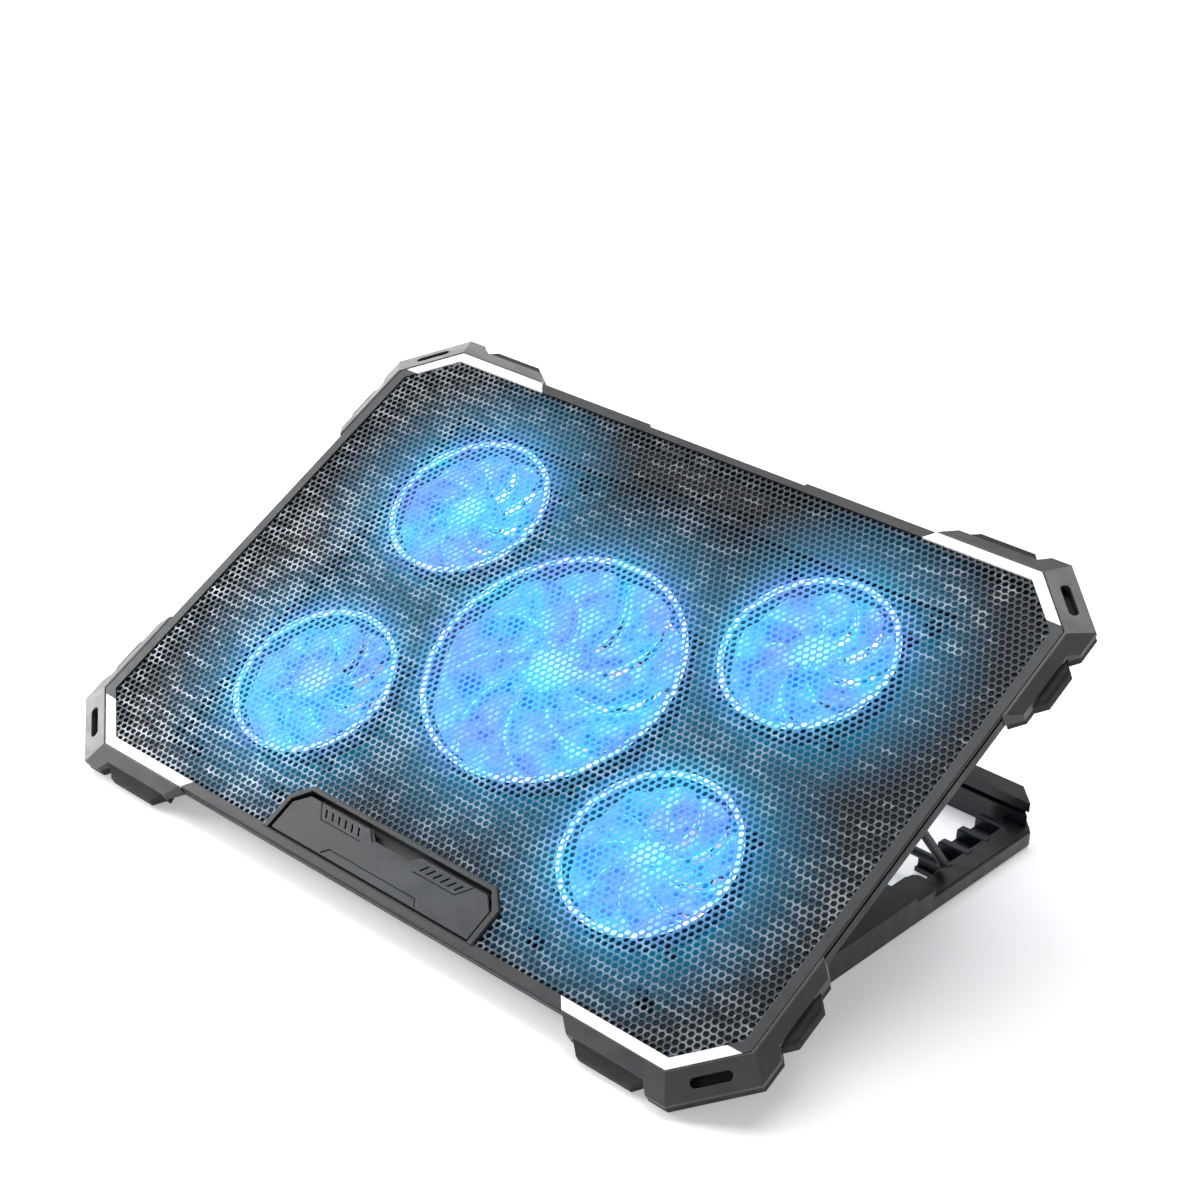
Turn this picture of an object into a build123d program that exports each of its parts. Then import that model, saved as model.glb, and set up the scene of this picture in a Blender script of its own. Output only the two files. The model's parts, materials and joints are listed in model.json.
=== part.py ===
"""Laptop cooling pad: a perforated deck with five lit fans, hinged on a floor frame.

Deck pieces are drawn in the deck's own frame (top plane z = 0, centre at the origin, front
towards -y) and then tilted about the hinge.  Floor-frame pieces are drawn where they stand.
All sizes are millimetres.  The finished part has its origin under the middle of its box.
"""
import math
import os

from build123d import *

# ---- pose and hinge -------------------------------------------------------------------
TILT = 29.3                       # deck angle at the steepest setting, degrees
HINGE_Y, HINGE_Z = -88.2, 9.0     # hinge axis over the floor
HINGE_DECK_Y = -100.0             # the same axis in the deck's frame
HINGE_DECK_Z = -21.5
HINGE_R = 1.5                     # hinge pin radius
HINGE_FIT = 0.05                  # radial running clearance on every pin

# ---- deck outline ---------------------------------------------------------------------
SIDE_X = 187.5                    # half width of the deck rim
FRONT_Y = 128.0                   # rim edge in front
REAR_Y = 128.0                    # rim edge behind
RECESS_X, RECESS_Y = 44.0, 126.8  # shallow recess in the middle of the rear edge
MESH_X, MESH_Y = 182.5, 123.2     # half sizes of the perforated field
RIM_T = 2.4                       # top frame thickness at the edge
SHELL_D = 7.7                     # rim depth below the top plane
TUB_X = 144.0                     # half width of the deep middle of the bottom cover
TUB_FRONT, TUB_REAR = -113.0, 100.0
TUB_D = 16.0                      # depth of the deep middle
WALL = 1.6
MESH_TOP, MESH_T = -0.6, 1.0

# ---- white corner inlays (one quadrant) -----------------------------------------------
STRIPE_OUT = [(112.1, 128.0), (163.5, 128.0), (184.8, 108.0)]
STRIPE_IN = [(177.9, 108.1), (161.6, 123.24), (107.9, 123.24)]
STRIPE_T = 1.3

# ---- corner guards (one quadrant) -----------------------------------------------------
BEVEL_TOP_Y, BEVEL_TOP_X = 128.7, 188.8     # where the sloped faces start
BEVEL_LOW_Y, BEVEL_LOW_X = 138.7, 196.8     # where they end
BEVEL_TOP_D, BEVEL_LOW_D = 1.0, 12.2        # both on the cut corner, out from the inlay
BEVEL_DROP = 4.4
ARM_Y, ARM_X = 134.4, 193.4                 # the arms are cut back to these lines
GUARD_D = 6.4                               # guard depth; the rubber pad is below it
PAD_D = 9.8

# ---- fans -----------------------------------------------------------------------------
BIG_FAN_R, SMALL_FAN_R = 57.0, 36.0         # duct radii
SMALL_FAN_X, SMALL_FAN_Y = 97.3, 54.6
FAN_TOP, FAN_FLOOR = -3.4, -14.2
DUCT_WALL = 2.6
BLADES = 9
BLADE_DEPTH = 6.4                 # along the fan's axis
BLADE_COVER = 0.84                # share of the gap to the next blade that a blade covers
TIP_GAP = 1.6
SHAFT_R = 1.5

# ---- laptop stop ----------------------------------------------------------------------
STOP_X = 57.9
STOP_FRONT, STOP_REAR = -123.3, -102.6
STOP_CUT = 6.2                    # cut rear corners
STOP_T = 3.0
STOP_AXIS_Y, STOP_AXIS_Z = -121.4, -2.1
STOP_PIN_R = 0.8
RIM_OUT_X, RIM_OUT_Y = 61.6, -98.4          # raised rim round the stop
RIM_UP = 0.6

# ---- floor frame ----------------------------------------------------------------------
BASE_X, BASE_IN_X = 163.8, 149.0
BASE_FRONT, BASE_REAR = -105.5, 130.4
BASE_Z0 = 1.0                     # underside, on rubber pads
BLOCK_TOP, BLOCK_END = 14.0, 34.5
LEDGE_TOP, LEDGE_END = 11.5, 47.2
RAIL_TOP = 7.9
BAR_FRONT, BAR_TOP = 119.5, 21.0
TOOTH_Y = [71.6, 85.8, 100.0, 114.2]
TOOTH_X0, TOOTH_X1, TOOTH_T, TOOTH_TOP = 140.3, 155.3, 4.4, 8.5
FOOT_XY = [(156.4, -98.0), (156.4, 20.8), (133.5, 125.4), (110.0, -76.5)]
FOOT_R = 3.4
BAR_SCREW_X = [-152.0, -141.5, 141.5, 152.0]
BAR_SCREW_Y = 125.4

# ---- prop bail ------------------------------------------------------------------------
BAIL_R = 2.0
BAIL_BEND = 4.0
BAIL_X = 156.0
BAIL_PIVOT_Y, BAIL_PIVOT_Z = 22.0, -13.0    # in the deck's frame
BAIL_FOOT_Y, BAIL_FOOT_Z = 66.0, 11.5       # over the floor
BAIL_STUB_X = 144.6

# ---- controls at the rear -------------------------------------------------------------
PORT_X = [-26.0, -8.0]
PORT_W, PORT_H = 13.1, 4.5
PORT_Z = -4.7
BUTTON_X, BUTTON_W, BUTTON_H = 20.0, 9.0, 3.0

os.makedirs("parts", exist_ok=True)


# ---- helpers --------------------------------------------------------------------------
def outline(points, z):
    """Flat face inside a closed polygon at height z."""
    return make_face(Polyline(*[(x, y, z) for x, y in points], close=True))


def prism(points, z0, z1):
    """Upright prism over a closed polygon."""
    return extrude(outline(points, z0), amount=z1 - z0, dir=(0, 0, 1))


def block(x0, x1, y0, y1, z0, z1):
    return Pos((x0 + x1) / 2, (y0 + y1) / 2, (z0 + z1) / 2) * Box(x1 - x0, y1 - y0, z1 - z0)


def disc(x, y, r, z0, z1):
    return Pos(x, y, (z0 + z1) / 2) * Cylinder(r, z1 - z0)


def bar_x(y, z, r, x0, x1):
    """Round bar along x."""
    return Pos((x0 + x1) / 2, y, z) * Rot(0, 90, 0) * Cylinder(r, abs(x1 - x0))


def profile_x(points, x0, x1):
    """Prism along x over a polygon of (y, z) points."""
    face = make_face(Polyline(*[(x0, y, z) for y, z in points], close=True))
    return extrude(face, amount=x1 - x0, dir=(1, 0, 0))


def both_sides(shape):
    return Compound([shape, mirror(shape, about=Plane.YZ)])


def offset_line(p, q, d):
    """Line through p and q moved d outwards (to its left)."""
    ux, uy = q[0] - p[0], q[1] - p[1]
    n = math.hypot(ux, uy)
    return (p[0] - uy / n * d, p[1] + ux / n * d), (ux / n, uy / n)


def corner_at_x(d, x):
    """Point with this x on the cut corner line, d outside the inlay's edge."""
    (px, py), (ux, uy) = offset_line(STRIPE_OUT[1], STRIPE_OUT[2], d)
    return x, py + (x - px) * uy / ux


def corner_at_y(d, y):
    """Point with this y on the cut corner line, d outside the inlay's edge."""
    (px, py), (ux, uy) = offset_line(STRIPE_OUT[1], STRIPE_OUT[2], d)
    return px + (y - py) * ux / uy, y


def octagon(hx, front, rear, d):
    """Deck outline with cut corners: half width, front and rear edge, corner offset."""
    right = [corner_at_x(d, hx), corner_at_y(d, rear)]
    back = [corner_at_y(d, front), corner_at_x(d, hx)]
    pts = [(hx, right[0][1]), (right[1][0], rear), (-right[1][0], rear), (-hx, right[0][1]),
           (-hx, -back[1][1]), (-back[0][0], -front), (back[0][0], -front), (hx, -back[1][1])]
    return pts


def deck(shape):
    """Carry a deck piece to its tilted place over the floor."""
    return (Pos(0, HINGE_Y, HINGE_Z) * Rot(TILT, 0, 0)
            * Pos(0, -HINGE_DECK_Y, -HINGE_DECK_Z) * shape)


def to_deck(y, z):
    """Floor coordinates of the side view, seen from the deck's frame."""
    a = math.radians(TILT)
    dy, dz = y - HINGE_Y, z - HINGE_Z
    return (HINGE_DECK_Y + dy * math.cos(a) + dz * math.sin(a),
            HINGE_DECK_Z - dy * math.sin(a) + dz * math.cos(a))


def keep(name, shape):
    shapes = shape.solids() if hasattr(shape, "solids") else [shape]
    out = Compound(shapes) if len(shapes) > 1 else shapes[0]
    export_step(out, f"parts/{name}.step")


def keep_deck(name, shape):
    keep(name, deck(shape))


def quadrant(shape, sx, sy):
    if sx < 0:
        shape = mirror(shape, about=Plane.YZ)
    if sy < 0:
        shape = mirror(shape, about=Plane.XZ)
    return shape


CORNERS = {"front_left": (-1, -1), "front_right": (1, -1), "rear_left": (-1, 1), "rear_right": (1, 1)}
FANS = {"center": (0.0, 0.0, BIG_FAN_R)}
for corner_name, (sx, sy) in CORNERS.items():
    FANS[corner_name] = (sx * SMALL_FAN_X, sy * SMALL_FAN_Y, SMALL_FAN_R)

# ---- outlines -------------------------------------------------------------------------
RIM = octagon(SIDE_X, FRONT_Y, REAR_Y, 0.3)
FIELD = octagon(MESH_X, MESH_Y, MESH_Y, -4.75)
LEDGE = octagon(MESH_X - 2.4, MESH_Y - 2.4, MESH_Y - 2.4, -7.6)
stripe = prism(STRIPE_OUT + STRIPE_IN, -STRIPE_T, -0.05)
stripe_seat = prism([(111.9, 128.4), *[corner_at_y(0.1, 128.1)], corner_at_x(0.1, 185.0), (184.9, 107.95),
                     (177.75, 108.0), (161.55, 123.14), (107.7, 123.14)], -STRIPE_T - 0.05, 1)
stop_outline = [(-STOP_X, STOP_FRONT), (STOP_X, STOP_FRONT), (STOP_X, STOP_REAR - STOP_CUT),
                (STOP_X - STOP_CUT, STOP_REAR), (STOP_CUT - STOP_X, STOP_REAR),
                (-STOP_X, STOP_REAR - STOP_CUT)]
stop_window = [(-STOP_X - 0.9, STOP_FRONT - 0.7), (STOP_X + 0.9, STOP_FRONT - 0.7),
               (STOP_X + 0.9, STOP_REAR - STOP_CUT + 0.7), (STOP_X - STOP_CUT + 0.9, STOP_REAR + 1.8),
               (STOP_CUT - STOP_X - 0.9, STOP_REAR + 1.8), (-STOP_X - 0.9, STOP_REAR - STOP_CUT + 0.7)]
rear_recess = [(-RECESS_X, RECESS_Y), (RECESS_X, RECESS_Y), (RECESS_X + 1.2, REAR_Y + 1),
               (-RECESS_X - 1.2, REAR_Y + 1)]
rim_outline = [(-RIM_OUT_X, -124.4), (RIM_OUT_X, -124.4), (RIM_OUT_X, RIM_OUT_Y - 8.3),
               (RIM_OUT_X - 8.3, RIM_OUT_Y), (8.3 - RIM_OUT_X, RIM_OUT_Y),
               (-RIM_OUT_X, RIM_OUT_Y - 8.3)]

# ---- top frame ------------------------------------------------------------------------
lip = prism(RIM, -1.0, 0)
lip -= prism(rear_recess, -2, 1)
lip = chamfer(lip.faces().sort_by(Axis.Z)[-1].outer_wire().edges(), 0.35)
frame = lip + prism(octagon(SIDE_X - 1.6, FRONT_Y - 1.6, REAR_Y - 1.6, -1.2), -RIM_T, -1.0)
frame -= prism(FIELD, MESH_TOP - MESH_T, 1)
frame -= prism(LEDGE, -5, 1)
rim_wall = prism(rim_outline, -RIM_T - 2.6, RIM_UP)
rim_wall = chamfer(rim_wall.faces().sort_by(Axis.Z)[-1].outer_wire().edges(), 0.5)
frame = frame + rim_wall
frame -= prism(stop_window, -STOP_T - 1.2, 2)
frame -= prism([(-40, -121), (40, -121), (36, -106), (-36, -106)], -6, 2)
for sx, sy in CORNERS.values():
    frame -= quadrant(stripe_seat, sx, sy)
for side in (-1, 1):
    frame -= bar_x(STOP_AXIS_Y, STOP_AXIS_Z, STOP_PIN_R + 0.01, side * (STOP_X + 0.5), side * (STOP_X + 3.1))
keep_deck("top_frame", frame)

# ---- perforated steel panel -----------------------------------------------------------
panel = prism(octagon(MESH_X - 0.15, MESH_Y - 0.15, MESH_Y - 0.15, -4.9), MESH_TOP - MESH_T, MESH_TOP)
panel -= prism([(x * 1.004, y + (0.25 if y > -120 else -6)) for x, y in rim_outline], -5, 1)
keep_deck("mesh_panel", panel)

# ---- white corner inlays --------------------------------------------------------------
for name, (sx, sy) in CORNERS.items():
    keep_deck(f"corner_inlay_{name}", quadrant(stripe, sx, sy))

# ---- bottom cover ---------------------------------------------------------------------
cover = prism(RIM, -SHELL_D, -RIM_T - 0.1)
cover -= prism(rear_recess, -SHELL_D - 1, 1)
cover = chamfer(cover.faces().sort_by(Axis.Z)[0].outer_wire().edges(), 0.8)
tub = block(-TUB_X, TUB_X, TUB_FRONT, TUB_REAR, -TUB_D, -SHELL_D + 1)
tub = chamfer(tub.faces().sort_by(Axis.Z)[0].edges(), 3.0)
cover += tub
cover -= prism(octagon(SIDE_X - 1.8, FRONT_Y - 1.8, REAR_Y - 1.8, -1.5), -SHELL_D + WALL, 1)
cover += block(-RECESS_X - 2, RECESS_X + 2, 125.2, REAR_Y - 1.7, -SHELL_D + 1, -RIM_T - 0.1)
hollow = block(-TUB_X + WALL, TUB_X - WALL, TUB_FRONT + WALL, TUB_REAR - WALL, -TUB_D + WALL, 1)
cover -= chamfer(hollow.faces().sort_by(Axis.Z)[0].edges(), 2.4)
for fx, fy, fr in FANS.values():
    # intake grille: rings of slots round a closed middle
    hub_r = fr * 0.34
    rings = 3 if fr > 50 else 2
    step = (fr - 2.5 - hub_r) / rings
    for ring in range(rings):
        r0 = hub_r + ring * step + 1.1
        r1 = hub_r + (ring + 1) * step - 1.1
        cover -= disc(fx, fy, r1, -TUB_D - 1, -TUB_D + WALL + 1) - disc(fx, fy, r0, -TUB_D - 2, 0)
    spokes = block(-fr, fr, -1.5, 1.5, -TUB_D, -TUB_D + WALL)
    for k in range(4):
        cover += Pos(fx, fy, 0) * Rot(0, 0, 22.5 + 45 * k) * spokes
# lugs for the frame hinge and for the bail
lug = profile_x([(HINGE_DECK_Y - 4.4, HINGE_DECK_Z), (HINGE_DECK_Y + 4.4, HINGE_DECK_Z),
                 (HINGE_DECK_Y + 6.5, -SHELL_D), (HINGE_DECK_Y - 6.5, -SHELL_D)], 151.5, 157.5)
lug += bar_x(HINGE_DECK_Y, HINGE_DECK_Z, 4.4, 151.5, 157.5)
lug -= bar_x(HINGE_DECK_Y, HINGE_DECK_Z, HINGE_R + HINGE_FIT, 140, 170)
bail_lug = profile_x([(BAIL_PIVOT_Y - 3.4, BAIL_PIVOT_Z), (BAIL_PIVOT_Y + 3.4, BAIL_PIVOT_Z),
                      (BAIL_PIVOT_Y + 6, -SHELL_D + 0.5), (BAIL_PIVOT_Y - 6, -SHELL_D + 0.5)],
                     TUB_X - 0.5, TUB_X + 4.4)
bail_lug += bar_x(BAIL_PIVOT_Y, BAIL_PIVOT_Z, 3.4, TUB_X - 0.5, TUB_X + 4.4)
bail_bore = bar_x(BAIL_PIVOT_Y, BAIL_PIVOT_Z, BAIL_R + HINGE_FIT, TUB_X - 4, TUB_X + 8)
for side in (1, -1):
    cover += lug if side > 0 else mirror(lug, about=Plane.YZ)
    cover += bail_lug if side > 0 else mirror(bail_lug, about=Plane.YZ)
    cover -= bail_bore if side > 0 else mirror(bail_bore, about=Plane.YZ)
# screw posts for the top frame
posts = [(sx * x, y) for sx in (-1, 1) for x, y in ((132, -106), (132, 92), (60, 92), (75, -106))]
for x, y in posts:
    cover += disc(x, y, 3.2, -TUB_D + 0.5, -RIM_T - 1.4)
    cover -= disc(x, y, 1.2, -TUB_D + 1.0, 0)
    cover -= disc(x, y, 2.6, -TUB_D - 1, -TUB_D + 1.2)
# openings for the two ports and the button in the rear wall
for x in PORT_X:
    cover -= block(x - PORT_W / 2 - 0.15, x + PORT_W / 2 + 0.15, 118, 132,
                   PORT_Z - PORT_H / 2 - 0.1, PORT_Z + PORT_H / 2 + 0.1)
cover -= block(BUTTON_X - BUTTON_W / 2 - 0.3, BUTTON_X + BUTTON_W / 2 + 0.3, 122, 132,
               PORT_Z - BUTTON_H / 2 - 0.3, PORT_Z + BUTTON_H / 2 + 0.3)
cover -= block(BUTTON_X - BUTTON_W / 2 - 1.2, BUTTON_X + BUTTON_W / 2 + 1.2, 118.5, 124.7,
               PORT_Z - BUTTON_H / 2 - 0.3, PORT_Z + BUTTON_H / 2 + 0.3)
keep_deck("bottom_cover", cover)

# ---- corner guards and their rubber pads ----------------------------------------------
GAP = 0.2
b_mid = corner_at_y(BEVEL_TOP_D, BEVEL_TOP_Y)
c_mid = corner_at_x(BEVEL_TOP_D, BEVEL_TOP_X)
(low_x, low_y), (ux, uy) = offset_line(b_mid, c_mid, BEVEL_LOW_D - BEVEL_TOP_D)
b_low = (low_x + (BEVEL_LOW_Y - low_y) * ux / uy, BEVEL_LOW_Y)
c_low = (BEVEL_LOW_X, low_y + (BEVEL_LOW_X - low_x) * uy / ux)
top_poly = [(100, 50), (100, BEVEL_TOP_Y), b_mid, c_mid, (BEVEL_TOP_X, 50)]
low_poly = [(100, 50), (100, BEVEL_LOW_Y), b_low, c_low, (BEVEL_LOW_X, 50)]
arm_plan = [(111.2, 127.0), (118.6, ARM_Y), (156.8, ARM_Y), (160.5, BEVEL_LOW_Y), b_low, c_low,
            (BEVEL_LOW_X, 101.6), (ARM_X, 98.0), (ARM_X, 66.2), (187.4, 60.2), (180, 60.2), (180, 100),
            (150, 127)]
guard = loft([outline(top_poly, 0), outline(low_poly, -BEVEL_DROP)], ruled=True)
guard += prism(low_poly, -GUARD_D, -BEVEL_DROP)
guard &= prism(arm_plan, -GUARD_D, 0)
inner = [(90, 40), (90, FRONT_Y + GAP), corner_at_y(0.5, FRONT_Y + GAP),
         corner_at_x(0.5, SIDE_X + 0.15), (SIDE_X + 0.15, 40)]
guard -= prism(inner, -20, 1)
guard = chamfer(guard.edges().filter_by(lambda e: abs(e.center().Z + GUARD_D) < 0.01
                                        and e.center().Y > 100 and e.center().X > 125
                                        and e.length > 15 and e.center().X + e.center().Y > 285), 0.5)
# long slot through the sloped corner face
slot_mid = ((b_mid[0] + c_mid[0] + b_low[0] + c_low[0]) / 4, (b_mid[1] + c_mid[1] + b_low[1] + c_low[1]) / 4)
slope = math.degrees(math.atan2(BEVEL_DROP, BEVEL_LOW_D - BEVEL_TOP_D))
turn = math.degrees(math.atan2(uy, ux))
slot = (Pos(slot_mid[0], slot_mid[1], -BEVEL_DROP / 2) * Rot(0, 0, turn) * Rot(-slope, 0, 0)
        * extrude(SlotOverall(16.5, 4.2), amount=6.0, both=True))
guard -= slot

pad_plan = [(x - 0.35, y - 0.35) for x, y in arm_plan[1:9]]
pad = prism([(119.4, 130), *pad_plan, (ARM_X - 0.35, 66.9), (188.0, 61.4), (180, 61.4), (180, 100),
             (150, 127), (119.4, 127)], -PAD_D, -GUARD_D - 0.05)
front_lip = profile_x([(133, -3.9), (134.6, -3.9), (138.9, -6.3), (138.9, -PAD_D), (133, -PAD_D)], 121, 156)
front_lip &= prism([(121.6, 130), (121.6, 134.4), (126.0, 139.1), (152.0, 139.1), (156.2, 134.4),
                    (156.2, 130)], -20, 5)
side_lip = prism([(191.8, 72.4), (193.2, 72.4), (197.4, 76.6), (197.4, 93.2), (193.2, 97.4),
                  (191.8, 97.4)], -PAD_D, -4.4)
side_lip = chamfer(side_lip.faces().sort_by(Axis.Z)[-1].edges().filter_by(
    lambda e: e.center().X > 193.0), 1.4)
# fine ribs along the front lip
for k in range(4):
    y = 135.2 + 0.85 * k
    z = -3.9 - (y - 134.6) * 0.55
    front_lip -= profile_x([(y - 0.2, z + 0.5), (y + 0.2, z + 0.5), (y + 0.2, z - 0.35), (y - 0.2, z - 0.35)],
                           115, 165)
pad += front_lip + side_lip
pad -= prism(inner, -20, 1)
guard -= profile_x([(133.0, -3.8), (134.9, -3.8), (139.4, -6.2), (139.4, -9), (133.0, -9)], 121.2, 156.6)
guard -= block(191.7, 200, 72.2, 97.6, -9, -4.3)

for name, (sx, sy) in CORNERS.items():
    keep_deck(f"guard_{name}", quadrant(guard, sx, sy))
    keep_deck(f"guard_pad_{name}", quadrant(pad, sx, sy))

# ---- laptop stop ----------------------------------------------------------------------
stop = prism(stop_outline, -STOP_T, 0)
stop = chamfer(stop.faces().sort_by(Axis.Z)[-1].edges(), 0.5)
# finger notch in the rear edge, with a step round it
stop -= prism([(-17, STOP_REAR + 1), (-11, STOP_REAR - 4.8), (11, STOP_REAR - 4.8), (17, STOP_REAR + 1)],
              -0.9, 1)
stop -= prism([(-15.4, STOP_REAR + 1), (-10.2, STOP_REAR - 3.6), (10.2, STOP_REAR - 3.6),
               (15.4, STOP_REAR + 1)], -STOP_T - 1, 0)
for side in (-1, 1):
    # six slanted slits and a thin groove round them
    for k in range(6):
        x = side * (20.5 + 3.9 * k)
        top, low = STOP_REAR - 2.2, STOP_REAR - 5.6
        stop -= prism([(x - 0.55, top), (x + 0.55, top), (x + 0.55 - side * 2.4, low),
                       (x - 0.55 - side * 2.4, low)], -1.8, 1)
    groove = [(44.5, STOP_REAR - 0.6), (39.2, STOP_REAR - 7.2), (15.5, STOP_REAR - 7.2)]
    for (x0, y0), (x1, y1) in zip(groove, groove[1:]):
        n = math.hypot(x1 - x0, y1 - y0)
        nx, ny = -(y1 - y0) / n * 0.28, (x1 - x0) / n * 0.28
        stop -= prism([(side * (x0 + nx), y0 + ny), (side * (x0 - nx), y0 - ny),
                       (side * (x1 - nx), y1 - ny), (side * (x1 + nx), y1 + ny)], -0.5, 1)
    stop -= prism([(side * 24.3, -118.9), (side * 25.4, -118.9), (side * 28.4, -122.3),
                   (side * 27.3, -122.3)], -0.5, 1)
stop -= block(-24.8, 24.8, -119.5, -119.0, -0.5, 1)
# rolled front edge on the hinge pins
stop += bar_x(STOP_AXIS_Y, STOP_AXIS_Z, 1.5, -STOP_X, STOP_X)
below_axis = block(-60, 60, -123.4, STOP_AXIS_Y, -5, STOP_AXIS_Z)
stop -= below_axis - bar_x(STOP_AXIS_Y, STOP_AXIS_Z, 1.5, -60, 60)
stop -= bar_x(STOP_AXIS_Y, STOP_AXIS_Z, STOP_PIN_R + HINGE_FIT, -60, 60)
keep_deck("laptop_stop", stop)
keep_deck("stop_hinge_pin", bar_x(STOP_AXIS_Y, STOP_AXIS_Z, STOP_PIN_R, -STOP_X - 3.0, STOP_X + 3.0))

# ---- fans -----------------------------------------------------------------------------
def fan_parts(fr):
    """Duct with spokes, motor, light ring and impeller of one fan, about its own axis."""
    hub_r = fr * 0.34
    duct = disc(0, 0, fr + DUCT_WALL, FAN_FLOOR + 0.05, FAN_TOP) - disc(0, 0, fr, -30, 5)
    ears = [(fr + 4.6, 45 + 90 * k) for k in range(4)]
    for r, a in ears:
        ear = disc(r, 0, 3.2, FAN_FLOOR + 0.05, FAN_FLOOR + 3.0) + block(fr + 0.5, r, -3.2, 3.2,
                                                                       FAN_FLOOR + 0.05, FAN_FLOOR + 3.0)
        duct += Rot(0, 0, a) * (ear - disc(r, 0, 1.1, -30, 5))
    for k in range(4):
        duct += Rot(0, 0, 22.5 + 90 * k) * block(hub_r - 2.5, fr + 0.5, -1.6, 1.6,
                                                 FAN_FLOOR + 0.05, FAN_FLOOR + 1.4)
    duct += disc(0, 0, hub_r - 1.0, FAN_FLOOR + 0.05, FAN_FLOOR + 1.4)
    duct -= disc(0, 0, SHAFT_R + HINGE_FIT, -30, 5)
    motor = disc(0, 0, hub_r * 0.42, FAN_FLOOR + 1.45, -6.4) - disc(0, 0, SHAFT_R + 0.6, -30, 5)
    for k in range(6):
        motor += Rot(0, 0, 60 * k) * (block(hub_r * 0.3, hub_r * 0.66, -1.4, 1.4, -10.6, -7.4)
                                      + block(hub_r * 0.62, hub_r * 0.72, -3.0, 3.0, -10.9, -7.1))
    ring = disc(0, 0, fr + DUCT_WALL, FAN_TOP + 0.02, FAN_TOP + 0.8) - disc(0, 0, fr + 0.2, -30, 5)
    cup = disc(0, 0, hub_r, FAN_FLOOR + 2.2, -4.6) - disc(0, 0, hub_r - 1.4, -30, -6.0)
    cup = chamfer(cup.faces().sort_by(Axis.Z)[-1].edges(), 1.0)
    cup += disc(0, 0, SHAFT_R, FAN_FLOOR + 0.3, -5.0)
    blades = []
    for k in range(BLADES):
        sections = []
        for r, lead, thick in ((hub_r - 0.6, 0.0, 1.5), ((fr + hub_r) / 2, 10.0, 1.3),
                               (fr - TIP_GAP, 24.0, 1.0)):
            chord = 2 * math.pi * r / BLADES * BLADE_COVER
            place = (Rot(0, 0, 360 / BLADES * k + lead) * Pos(r, 0, -8.3) * Rot(0, 90, 0)
                     * Rot(0, 0, math.degrees(math.atan2(chord, BLADE_DEPTH))))
            sections.append(place * Rectangle(math.hypot(BLADE_DEPTH, chord) * 0.98, thick))
        blades.append(loft(sections))
    impeller = cup
    for blade in blades:
        impeller += blade
    impeller &= disc(0, 0, fr - TIP_GAP, FAN_FLOOR - 1, -4.2)
    return duct, motor, ring, impeller


fan_sets = {BIG_FAN_R: fan_parts(BIG_FAN_R), SMALL_FAN_R: fan_parts(SMALL_FAN_R)}
screws = []
for name, (fx, fy, fr) in FANS.items():
    duct, motor, ring, impeller = fan_sets[fr]
    keep_deck(f"fan_duct_{name}", Pos(fx, fy, 0) * duct)
    keep_deck(f"fan_motor_{name}", Pos(fx, fy, 0) * motor)
    keep_deck(f"light_ring_{name}", Pos(fx, fy, 0) * ring)
    keep_deck(f"impeller_{name}", Pos(fx, fy, 0) * impeller)
    for k in range(4):
        a = math.radians(45 + 90 * k)
        x, y = fx + (fr + 4.6) * math.cos(a), fy + (fr + 4.6) * math.sin(a)
        screws.append(disc(x, y, 2.0, FAN_FLOOR + 3.0, FAN_FLOOR + 4.2)
                      + disc(x, y, 1.05, FAN_FLOOR + 0.1, FAN_FLOOR + 3.1))
keep_deck("fan_screws", Compound([s for piece in screws for s in piece.solids()]))

# ---- circuit board, ports and button --------------------------------------------------
board = block(-38, 34, 103, 118.5, -7.4 + WALL + 0.1, -7.4 + WALL + 0.9)
board += block(-6, 6, 105, 112, -4.9, -3.6) + block(22, 30, 104.5, 109, -4.9, -3.2)
keep_deck("circuit_board", board)
for x, side in zip(PORT_X, ("left", "right")):
    shell = block(x - PORT_W / 2, x + PORT_W / 2, 118.7, RECESS_Y - 0.1,
                  PORT_Z - PORT_H / 2, PORT_Z + PORT_H / 2)
    shell -= block(x - PORT_W / 2 + 0.35, x + PORT_W / 2 - 0.35, 119.4, 140,
                   PORT_Z - PORT_H / 2 + 0.35, PORT_Z + PORT_H / 2 - 0.35)
    shell += block(x - 5.6, x + 5.6, 119.0, RECESS_Y - 1.2, PORT_Z - 0.1, PORT_Z + 1.4)
    keep_deck(f"usb_port_{side}", shell)
switch = block(BUTTON_X - 3.5, BUTTON_X + 3.5, 118.8, 122.2, PORT_Z - 1.3, PORT_Z + 1.5)
keep_deck("button_switch", switch)
button = block(BUTTON_X - BUTTON_W / 2, BUTTON_X + BUTTON_W / 2, 125.6, RECESS_Y + 0.9,
               PORT_Z - BUTTON_H / 2, PORT_Z + BUTTON_H / 2)
button = chamfer(button.faces().sort_by(Axis.Y)[-1].edges(), 0.5)
button += block(BUTTON_X - BUTTON_W / 2 - 0.9, BUTTON_X + BUTTON_W / 2 + 0.9, 123.2, 124.4,
                PORT_Z - BUTTON_H / 2, PORT_Z + BUTTON_H / 2)
button += block(BUTTON_X - BUTTON_W / 2 + 0.5, BUTTON_X + BUTTON_W / 2 - 0.5, 124.3, 125.7,
                PORT_Z - BUTTON_H / 2, PORT_Z + BUTTON_H / 2)
keep_deck("power_button", button)

cover_screws = []
for x, y in posts:
    cover_screws.append(disc(x, y, 2.4, -TUB_D, -TUB_D + 1.2) + disc(x, y, 1.15, -TUB_D + 1.1, -6.0))
keep_deck("cover_screws", Compound([s for piece in cover_screws for s in piece.solids()]))

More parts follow.
